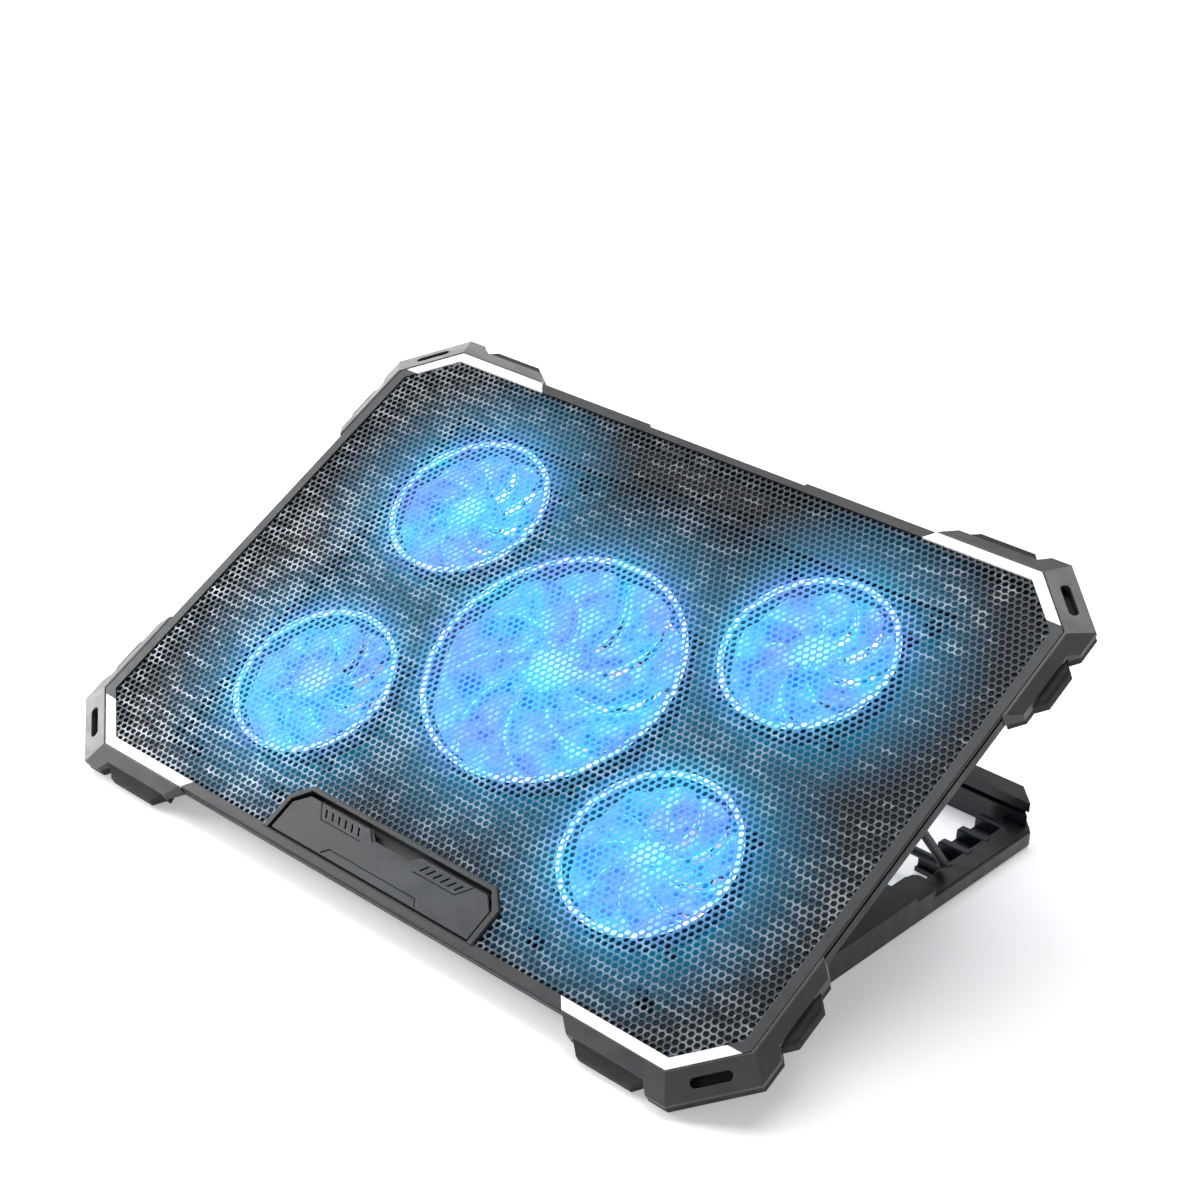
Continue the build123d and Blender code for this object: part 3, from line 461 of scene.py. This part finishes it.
LOOKS = {
    "frame_plastic": moulded_plastic("frame_plastic", 0.027, 0.44, edge_wear_and_highlight=3.0, tint=0.08),
    "guard_plastic": moulded_plastic("guard_plastic", 0.046, 0.34, edge_wear_and_highlight=2.6, tint=0.06),
    "stop_plastic": moulded_plastic("stop_plastic", 0.032, 0.4, edge_wear_and_highlight=2.4, tint=0.12),
    "base_plastic": moulded_plastic("base_plastic", 0.014, 0.36, edge_wear_and_highlight=5.0, radius=0.0005),
    "duct_plastic": moulded_plastic("duct_plastic", 0.02, 0.5, fan_lit=True),
    "inlay_plastic": white_inlay("inlay_plastic"),
    "mesh_steel": perforated_steel("mesh_steel"),
    "pad_rubber": rubber("pad_rubber"),
    "motor_metal": wound_copper("motor_metal"),
    "light_ring": light_guide("light_ring"),
    "board": board_lacquer("board"),
    "port_shell": turned_metal("port_shell", 0.55, 0.3),
    "pin_steel": turned_metal("pin_steel", 0.4, 0.35),
    "screw_steel": turned_metal("screw_steel", 0.05, 0.4, metallic=0.7),
    "bail_steel": turned_metal("bail_steel", 0.035, 0.45, metallic=0.3, scale=(9.0, 1.0, 1.0)),
}
BLADE_LOOKS = {fan: lit_blade("fan_blade_" + fan, fan) for fan in FAN_NAMES}


def dress_cad_nodes():
    """Gives every carried-over node the look of its slot."""
    slots = {part["node"]: part["material_slot"] for part in frame["record"]["subparts"]}
    for name, obj in frame["nodes"].items():
        fan = name.removeprefix("impeller_")
        look = LOOKS[slots[name]] if fan == name else BLADE_LOOKS[fan]
        for slot in obj.material_slots:
            slot.material = look
        if not obj.material_slots:
            obj.data.materials.append(look)


# ---- perforated sheet ------------------------------------------------------------------------
def corner_limit(point):
    """How far a point lies outside the cut corners, in millimetres."""
    x0, y0, x1, y1 = CORNER_SUM
    nx, ny = y1 - y0, x0 - x1
    size = math.hypot(nx, ny)
    return (nx * (abs(point[0]) - x0) + ny * (abs(point[1]) - y0)) / size


def clip(bm, point, normal, near=None):
    """Cuts bm along a plane and removes the outer side.

    With near, only the faces it picks are cut, and nothing is removed.
    """
    if near is None:
        geometry = bm.verts[:] + bm.edges[:] + bm.faces[:]
    else:
        faces = [f for f in bm.faces if near(f.calc_center_median())]
        edges = list({e for f in faces for e in f.edges})
        verts = list({v for e in edges for v in e.verts})
        geometry = verts + edges + faces
    bmesh.ops.bisect_plane(bm, geom=geometry, plane_co=point, plane_no=normal, clear_outer=near is None)


def honeycomb(with_face):
    """Hexagonal holes in a sheet: its face and hole walls, or its plain back.

    A cell is named by its column i and row j; odd rows are half a pitch to the right.
    """
    row_gap = HOLE_PITCH * math.sqrt(3) / 2
    rows, columns = int(FIELD_Y / row_gap) + 2, int(FIELD_X / HOLE_PITCH) + 2
    corners = [math.radians(30 + 60 * k) for k in range(6)]
    shape = [(HOLE_R * math.cos(a), HOLE_R * math.sin(a)) for a in corners]
    top, low = SHEET_TOP, SHEET_TOP - SHEET_T
    bm = bmesh.new()
    cells = {}
    for j in range(-rows, rows + 1):
        for i in range(-columns, columns + 1):
            x, y = (i + 0.5 * (j % 2)) * HOLE_PITCH, j * row_gap
            if corner_limit((x, y)) > CUT_MARGIN:
                continue
            heights = (top, low) if with_face else (low,)
            cells[i, j] = [[bm.verts.new((x + dx, y + dy, z)) for dx, dy in shape] for z in heights]
    for (i, j), rings in cells.items():
        ring, lean = rings[0], j % 2
        if with_face:
            for k in range(6):
                bm.faces.new((rings[0][k], rings[0][k - 1], rings[1][k - 1], rings[1][k]))
        east = cells.get((i + 1, j))
        up_left, up_right = cells.get((i - 1 + lean, j + 1)), cells.get((i + lean, j + 1))
        if east:
            bm.faces.new((ring[5], east[0][3], east[0][2], ring[0]))
        if up_right:
            bm.faces.new((ring[0], up_right[0][4], up_right[0][3], ring[1]))
        if up_left:
            bm.faces.new((ring[1], up_left[0][5], up_left[0][4], ring[2]))
        if up_right and up_left:
            bm.faces.new((ring[1], up_right[0][3], up_left[0][5]))
        if east and up_right:
            bm.faces.new((ring[0], east[0][2], up_right[0][4]))
    return bm


def near_stop(point):
    """Whether a point lies in or just round the laptop stop's cut-out."""
    margin = 4
    return abs(point.x) < STOP_CUT_X + margin and point.y < STOP_CUT_Y + margin


def trim_sheet(bm):
    """Cuts the honeycomb to the panel's outline and round the laptop stop."""
    for side in (-1, 1):
        clip(bm, (side * FIELD_X, 0, 0), (side, 0, 0))
        clip(bm, (0, side * FIELD_Y, 0), (0, side, 0))
    x0, y0, x1, y1 = CORNER_SUM
    for sx in (-1, 1):
        for sy in (-1, 1):
            clip(bm, (sx * x0, sy * y0, 0), (sx * (y1 - y0), sy * (x0 - x1), 0))
    for sx in (-1, 1):
        clip(bm, (sx * STOP_CUT_X, 0, 0), (sx, 0, 0), near_stop)
        clip(bm, (sx * (STOP_CUT_X - STOP_CUT_C), STOP_CUT_Y, 0), (sx, 1, 0), near_stop)
    clip(bm, (0, STOP_CUT_Y, 0), (0, 1, 0), near_stop)
    gone = []
    for face in bm.faces:
        c = face.calc_center_median()
        inside = abs(c.x) < STOP_CUT_X and c.y < STOP_CUT_Y
        if inside and abs(c.x) + c.y < STOP_CUT_X - STOP_CUT_C + STOP_CUT_Y:
            gone.append(face)
    bmesh.ops.delete(bm, geom=gone, context="FACES")


def perforated_panel():
    """The deck's perforated sheet, as its face with the hole walls and its back."""
    for name, with_face in (("mesh_panel_face", True), ("mesh_panel_back", False)):
        bm = honeycomb(with_face)
        trim_sheet(bm)
        bmesh.ops.transform(bm, matrix=DECK, verts=bm.verts)
        mesh = bpy.data.meshes.new(name)
        bm.to_mesh(mesh)
        bm.free()
        if not with_face:
            mesh.flip_normals()
        piece(name, mesh, "deck", LOOKS["mesh_steel"], ("mesh_panel",))


# ---- impellers -------------------------------------------------------------------------------
def blade_point(u, v, start, root_r, tip_r, side):
    """A point of a blade's upper (side 1) or lower (side -1) face: u goes across it, v out to its tip."""
    length = tip_r - root_r
    corner_rounding = 0.16 * v ** 6 * (2 * u - 1) ** 6
    reach = root_r + length * v - corner_rounding * length
    angle = start + SWEEP * v ** SWEEP_CURVE + (u - 0.5) * 2 * math.pi / BLADES * BLADE_OVERLAP
    camber = BLADE_TOP - BLADE_DROP * (u + 0.16 * math.sin(math.pi * u))
    half = 0.5 * (BLADE_T - BLADE_THINNING * v) * math.sin(math.pi * (0.08 + 0.84 * u)) ** 0.5
    return Vector((reach * math.cos(angle), reach * math.sin(angle), camber + side * half))


def blade(bm, place, start, root_r, tip_r):
    """One swept, cambered fan blade that reaches a little over the next one."""
    across, along = 10, 9
    upper, lower = ([[bm.verts.new(place @ blade_point(i / across, j / along, start, root_r, tip_r, side))
                      for i in range(across + 1)] for j in range(along + 1)] for side in (1, -1))
    for j in range(along):
        for i in range(across):
            bm.faces.new((upper[j][i], upper[j][i + 1], upper[j + 1][i + 1], upper[j + 1][i]))
            bm.faces.new((lower[j][i], lower[j + 1][i], lower[j + 1][i + 1], lower[j][i + 1]))
        for i in (0, across):
            bm.faces.new((upper[j][i], upper[j + 1][i], lower[j + 1][i], lower[j][i]))
    for i in range(across):
        for j in (0, along):
            bm.faces.new((upper[j][i], upper[j][i + 1], lower[j][i + 1], lower[j][i]))


def hub_profile(hub_r):
    """Domed cap with a stepped edge, open cup and shaft, from the top round to the axis."""
    quarter, steps = math.pi / 2, 8
    turns = [quarter * k / steps for k in range(steps)]
    dome = [(hub_r * math.sin(a), HUB_TOP - 0.9 * (1 - math.cos(a))) for a in turns]
    dome.append((hub_r, HUB_TOP - 0.9 - 0.5))
    inner = hub_r - HUB_WALL
    return dome + [(hub_r, HUB_FLOOR), (inner, HUB_FLOOR), (inner, HUB_ROOF), (SHAFT_R, HUB_ROOF),
                   (SHAFT_R, SHAFT_END), (0, SHAFT_END)]


def impellers():
    """Hub and swept blades for each fan."""
    for fan in FAN_NAMES:
        bm = bmesh.new()
        axis = FANS[fan]
        place = DECK @ Matrix.Translation((axis.x, axis.y, 0))
        hub_r = FAN_R[fan] * HUB_SHARE
        for k in range(BLADES):
            blade(bm, place, 2 * math.pi * k / BLADES, hub_r - 0.5, FAN_R[fan] - TIP_GAP)
        lathe(bm, hub_profile(hub_r), place, 64)
        node = "impeller_" + fan
        piece("swept_" + node, mesh_of(bm, node), "fan_" + fan, BLADE_LOOKS[fan], (node,),
              smooth=40)


# ---- screws and feet ---------------------------------------------------------------------------
def islands(node):
    """The points of each separate solid of a CAD node; points within 0.01 mm count as one."""
    mesh = frame["nodes"][node].data
    keys = [tuple(round(c * 1e5) for c in v.co) for v in mesh.vertices]
    parent = {key: key for key in keys}

    def root(key):
        while parent[key] != key:
            key = parent[key]
        return key

    for edge in mesh.edges:
        a, b = (root(keys[i]) for i in edge.vertices)
        parent[a] = b
    groups = {}
    for key, vertex in zip(keys, mesh.vertices):
        groups.setdefault(root(key), []).append(vertex.co.copy())
    return list(groups.values())


def middle_and_top(points):
    """Centre of a group of points in x and y, with its highest z."""
    low = [min(p[k] for p in points) for k in range(3)]
    high = [max(p[k] for p in points) for k in range(3)]
    return Vector(((low[0] + high[0]) / 2, (low[1] + high[1]) / 2, high[2]))


def screws(node, body, to_axis, head_r, head_t, shank_r, length):
    """Cross-head screws in place of a node's plain ones; to_axis turns their heads to +z.

    Head radius and height, shank radius and length are in millimetres.
    """
    bm = bmesh.new()
    back = to_axis.inverted()
    shank_l = length - shank_r * 0.5
    for points in islands(node):
        spot = middle_and_top([to_axis @ p for p in points])
        cross_head_screw(bm, back @ Matrix.Translation(spot), head_r, head_t, shank_r, shank_l)
    piece(node + "_cross_head", mesh_of(bm, node), body, LOOKS["screw_steel"], (node,),
          smooth=35)


def fasteners():
    """The fans' screws face up, the cover's and the rear bar's face down."""
    heads_down = Matrix.Rotation(math.pi, 4, "X")
    screws("fan_screws", "deck", TO_DECK, head_r=2.0, head_t=1.2, shank_r=1.05, length=4.1)
    screws("cover_screws", "deck", heads_down @ TO_DECK, head_r=2.4, head_t=1.2, shank_r=1.15, length=10.0)
    screws("rear_bar_screws", "stand", heads_down @ Matrix.Scale(1 / MM, 4), head_r=2.3, head_t=2.2,
           shank_r=1.2, length=11.6)


def domed_feet():
    """Rubber feet with a rounded tread, each as wide and high as its plain one."""
    bm = bmesh.new()
    for points in islands("rubber_feet"):
        top = middle_and_top(points)
        drop = top.z - min(p.z for p in points)
        r = max((Vector((p.x, p.y)) - top.xy).length for p in points)
        tread = [(0, 0), (0.55, 0), (0.86, 0.12), (0.97, 0.32), (1, 0.55), (1, 1), (0, 1)]
        profile = [(r * across, drop * up) for across, up in tread]
        lathe(bm, profile, Matrix.Translation((top.x, top.y, top.z - drop)))
    piece("domed_feet", mesh_of(bm, "domed_feet"), "stand", LOOKS["pad_rubber"],
          ("rubber_feet",), smooth=40)


# ---- stage, light and camera -----------------------------------------------------------------
def area_light(name, place, target, size, power):
    """A soft white light that looks at target."""
    data = bpy.data.lights.new(name, "AREA")
    data.size, data.energy = size, power
    light = bpy.data.objects.new(name, data)
    light.location = place
    light.rotation_euler = (Vector(target) - Vector(place)).to_track_quat("-Z", "Y").to_euler()
    bpy.context.scene.collection.objects.link(light)


def pale_floor():
    """Large sheet of pale paper, just under the feet."""
    mesh = bpy.data.meshes.new("floor")
    half, under_feet = 6.0, 0.2 * MM
    corners = [(-half, -half, 0), (half, -half, 0), (half, half, 0), (-half, half, 0)]
    mesh.from_pydata(corners, [], [(0, 1, 2, 3)])
    floor = bpy.data.objects.new("floor", mesh)
    floor.location.z = -under_feet
    bpy.context.scene.collection.objects.link(floor)
    look = Look("floor_paper", Specular_IOR_Level=0.2, Emission_Color=(1, 1, 1, 1), Emission_Strength=0.36)
    shade = look.mix(look.noise(3.0), (0.83, 0.83, 0.84, 1), (0.87, 0.87, 0.87, 1))
    mesh.materials.append(look.set(Base_Color=shade, Roughness=look.ramp(look.noise(40.0), 0.75, 0.85)))


def studio():
    """Pale floor, even sky and four soft lights, the strongest from the left."""
    pale_floor()
    world = bpy.data.worlds.new("studio")
    world.use_nodes = True
    background = world.node_tree.nodes["Background"]
    background.inputs["Color"].default_value = (0.93, 0.95, 1.0, 1)
    background.inputs["Strength"].default_value = 0.27
    bpy.context.scene.world = world
    bpy.context.scene.view_settings.view_transform = "Standard"
    target = (0, 0, 0.06)
    area_light("key", (-2.0, -0.5, 0.8), target, 1.8, 76)
    area_light("left_rear", (-1.7, 1.2, 0.6), target, 1.2, 14)
    area_light("top", (-0.3, 0.7, 2.0), target, 1.6, 34)
    area_light("front", (0.2, -2.0, 0.6), target, 1.0, 6)


def camera():
    """Looks down at the front right corner."""
    data = bpy.data.cameras.new("camera")
    data.lens, data.sensor_width, data.shift_x = 72.76, 36.0, 0.03
    made = bpy.data.objects.new("camera", data)
    made.location = (0.6042, -0.6788, 0.5669)
    heading, drop, roll = math.radians(42.733), math.radians(27.115), math.radians(-1.725)
    made.rotation_euler = (math.pi / 2 - drop, roll, heading)
    bpy.context.scene.collection.objects.link(made)
    bpy.context.scene.camera = made


dress_cad_nodes()
perforated_panel()
impellers()
fasteners()
domed_feet()
studio()
camera()
